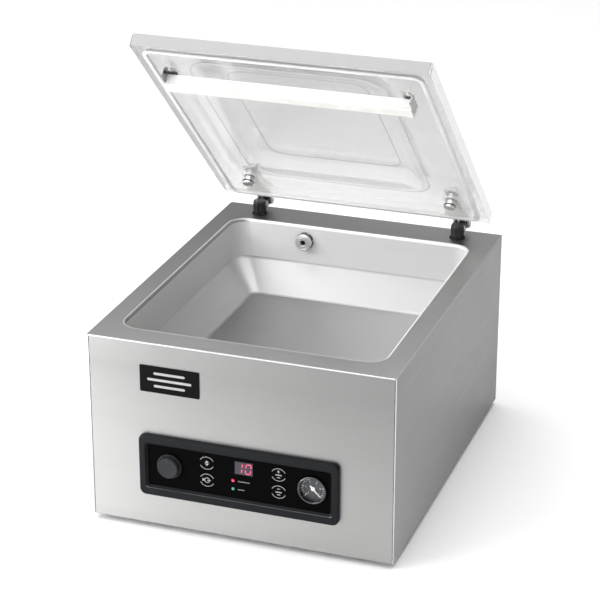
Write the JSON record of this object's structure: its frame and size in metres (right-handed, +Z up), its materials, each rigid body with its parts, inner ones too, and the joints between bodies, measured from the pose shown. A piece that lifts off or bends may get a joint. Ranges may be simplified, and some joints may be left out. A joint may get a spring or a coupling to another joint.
{
  "type": "chamber vacuum sealer",
  "caption": "Tabletop chamber vacuum sealer: steel housing with drawn chamber, clear hinged lid, seal bar and black control panel.",
  "frame": {"origin": "on the surface that the feet stand on, below the middle of the whole outline, knob and mains inlet included; the middle of the housing lies 4.25 mm behind it", "axes": "+X to the right seen from the front, +Y to the back, +Z up"},
  "size_m": [0.425, 0.5444, 0.6403],
  "materials": {
    "brushed_front": "fine brushed, satin",
    "brushed_deck": "satin, drawn chamber",
    "brushed_side": "brushed, satin",
    "clear_acrylic": "clear polished acrylic",
    "white_silicone": "matt white silicone",
    "white_bar": "satin white",
    "black_gloss": "glossy film",
    "black_matte": "fine grain",
    "knob_plastic": "satin",
    "key_film": "satin film with white symbols",
    "badge_black": "glossy black, white motif",
    "rubber_black": "moulded rubber",
    "post_black": "ribbed, satin",
    "stainless": "machined stainless",
    "bright_steel": "bright",
    "spring_steel": "oiled wire",
    "seal_aluminium": "mill finish",
    "seal_wire": "resistance wire",
    "glass_cloth_tape": "coated glass cloth",
    "dial_face": "printed scale",
    "gauge_glass": "clear",
    "pointer_white": "satin white",
    "display_smoke": "smoked window",
    "digit_red": "lit segments",
    "lamp_red": "lit lens",
    "lamp_green": "lit lens",
    "board_green": "solder mask",
    "pump_casting": "painted casting",
    "motor_paint": "enamel",
    "rotor_metal": "machined",
    "filter_white": "moulded canister",
    "valve_black": "moulded coil",
    "transformer_core": "varnished laminations"
  },
  "bodies": {
    "housing": {"top_deck": "brushed_deck", "chamber_pan": "brushed_deck", "front_panel": "brushed_front", "left_panel": "brushed_side", "right_panel": "brushed_side", "rear_panel": "brushed_side", "base_plate": "brushed_side", "feet": "rubber_black", "foot_screws": "bright_steel", "rear_screws": "bright_steel", "badge_plate": "badge_black", "control_bezel": "black_matte", "control_fascia": "black_gloss", "display_window": "display_smoke", "display_digits": "digit_red", "red_lamp": "lamp_red", "green_lamp": "lamp_green", "gauge_case": "black_matte", "gauge_dial": "dial_face", "gauge_lens": "gauge_glass", "gauge_ring": "bright_steel", "switch_body": "black_matte", "control_board": "board_green", "suction_nozzle": "stainless", "nozzle_ring": "stainless", "hinge_posts": "post_black", "post_grommets": "rubber_black", "post_nuts": "bright_steel", "lift_cylinders": "stainless", "pump_body": "pump_casting", "pump_buffers": "rubber_black", "motor_housing": "motor_paint", "exhaust_filter": "filter_white", "vacuum_hose": "rubber_black", "solenoid_valve": "valve_black", "seal_transformer": "transformer_core", "mains_inlet": "black_matte"},
    "lid": {"lid": "clear_acrylic", "lid_gasket": "white_silicone", "lid_bolts": "bright_steel", "bolt_washers": "rubber_black", "lid_nuts": "bright_steel", "counter_bar": "white_bar", "counter_strip": "white_silicone", "bar_clips": "stainless", "clip_screws": "bright_steel", "hinge_brackets": "stainless", "hinge_pins": "bright_steel", "hinge_springs": "spring_steel"},
    "seal_bar": {"seal_bar": "seal_aluminium", "seal_wires": "seal_wire", "seal_tape": "glass_cloth_tape", "lift_rods": "bright_steel"},
    "switch_knob": {"switch_knob": "knob_plastic"},
    "gauge_pointer": {"gauge_pointer": "pointer_white"},
    "key_left_low": {"key_left_low": "key_film"},
    "key_left_high": {"key_left_high": "key_film"},
    "key_right_low": {"key_right_low": "key_film"},
    "key_right_high": {"key_right_high": "key_film"},
    "motor_rotor": {"motor_rotor": "rotor_metal"}
  },
  "joints": [
    {"name": "lid_hinge", "type": "hinge", "parent": "housing", "child": "lid", "pos_m": [0, 0.25825, 0.289], "axis": [1, 0, 0], "range_deg": [0, 43.4], "stiffness_Nm_per_rad": 7, "springref_deg": -97.4},
    {"name": "seal_lift", "type": "slide", "parent": "housing", "child": "seal_bar", "axis": [0, 0, 1], "range_m": [0, 0.0156]},
    {"name": "main_switch", "type": "hinge", "parent": "housing", "child": "switch_knob", "pos_m": [-0.0985, -0.26075, 0.1], "axis": [0, 1, 0], "range_deg": [0, 90]},
    {"name": "gauge_needle", "type": "hinge", "parent": "housing", "child": "gauge_pointer", "pos_m": [0.1015, -0.26075, 0.0995], "axis": [0, -1, 0], "range_deg": [0, 272], "stiffness_Nm_per_rad": 0.0002, "springref_deg": -28.65},
    {"name": "key_left_low_press", "type": "slide", "parent": "housing", "child": "key_left_low", "axis": [0, 1, 0], "range_m": [0, 0.0006], "stiffness_N_per_m": 900, "springref_m": -0.0008},
    {"name": "key_left_high_press", "type": "slide", "parent": "housing", "child": "key_left_high", "axis": [0, 1, 0], "range_m": [0, 0.0006], "stiffness_N_per_m": 900, "springref_m": -0.0008},
    {"name": "key_right_low_press", "type": "slide", "parent": "housing", "child": "key_right_low", "axis": [0, 1, 0], "range_m": [0, 0.0006], "stiffness_N_per_m": 900, "springref_m": -0.0008},
    {"name": "key_right_high_press", "type": "slide", "parent": "housing", "child": "key_right_high", "axis": [0, 1, 0], "range_m": [0, 0.0006], "stiffness_N_per_m": 900, "springref_m": -0.0008},
    {"name": "motor_spin", "type": "hinge", "parent": "housing", "child": "motor_rotor", "pos_m": [0, 0.07425, 0.075], "axis": [1, 0, 0], "continuous": true}
  ]
}
